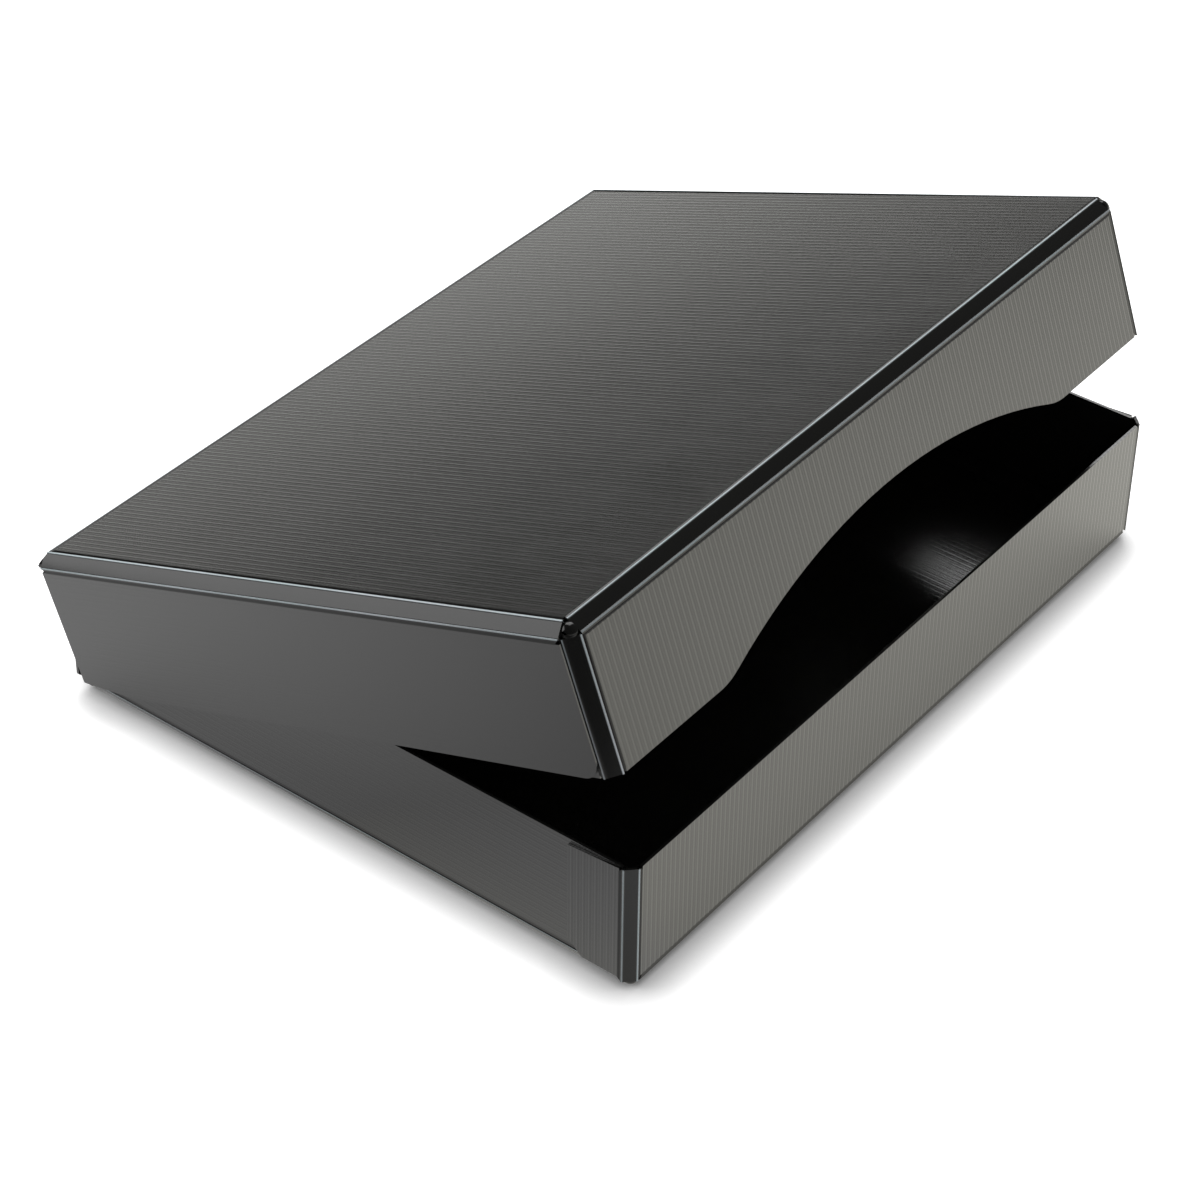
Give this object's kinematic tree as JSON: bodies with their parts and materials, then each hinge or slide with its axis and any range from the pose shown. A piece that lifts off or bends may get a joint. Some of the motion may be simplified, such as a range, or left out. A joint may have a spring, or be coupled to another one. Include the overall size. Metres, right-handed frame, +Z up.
{
  "type": "archive box",
  "caption": "Shallow clamshell archive box folded from thin ribbed black plastic sheet, with bevelled folds, an outside lid held ajar on a flexing spine and a wide finger cut-out.",
  "frame": {"origin": "middle of the tray's underside, on the surface that the box stands on", "axes": "+X along the front wall to the right, +Y from the front wall back to the spine, +Z up"},
  "size_m": [0.372, 0.3041, 0.1625],
  "materials": {
    "ribbed_sheet": "black polypropylene sheet with a fine moulded rib, satin gloss",
    "creased_strip": "the same sheet pressed smooth between two rolled creases, glossy"
  },
  "bodies": {
    "tray": {"tray_floor": "ribbed_sheet", "tray_front_wall": "ribbed_sheet", "tray_left_wall": "ribbed_sheet", "tray_right_wall": "ribbed_sheet", "tray_rear_wall": "ribbed_sheet", "tray_front_left_tab": "ribbed_sheet", "tray_front_right_tab": "ribbed_sheet", "tray_rear_left_tab": "ribbed_sheet", "tray_rear_right_tab": "ribbed_sheet", "tray_front_crease": "creased_strip", "tray_rear_crease": "creased_strip", "tray_left_crease": "creased_strip", "tray_right_crease": "creased_strip", "tray_front_left_corner": "creased_strip", "tray_front_right_corner": "creased_strip", "tray_rear_left_corner": "creased_strip", "tray_rear_right_corner": "creased_strip"},
    "spine": {"spine": "ribbed_sheet"},
    "lid": {"lid_top": "ribbed_sheet", "lid_front_flap": "ribbed_sheet", "lid_left_flap": "ribbed_sheet", "lid_right_flap": "ribbed_sheet", "lid_left_tab": "ribbed_sheet", "lid_right_tab": "ribbed_sheet", "lid_front_crease": "creased_strip", "lid_rear_crease": "creased_strip", "lid_left_crease": "creased_strip", "lid_right_crease": "creased_strip", "lid_front_left_corner": "creased_strip", "lid_front_right_corner": "creased_strip"}
  },
  "joints": [
    {"name": "spine_fold", "type": "hinge", "parent": "tray", "child": "spine", "pos_m": [0, 0.145, 0.02], "axis": [-1, 0, 0], "range_deg": [-20, 70]},
    {"name": "lid_fold", "type": "hinge", "parent": "spine", "child": "lid", "pos_m": [0, 0.15909, 0.05871], "axis": [-1, 0, 0], "range_deg": [0, 90]}
  ]
}
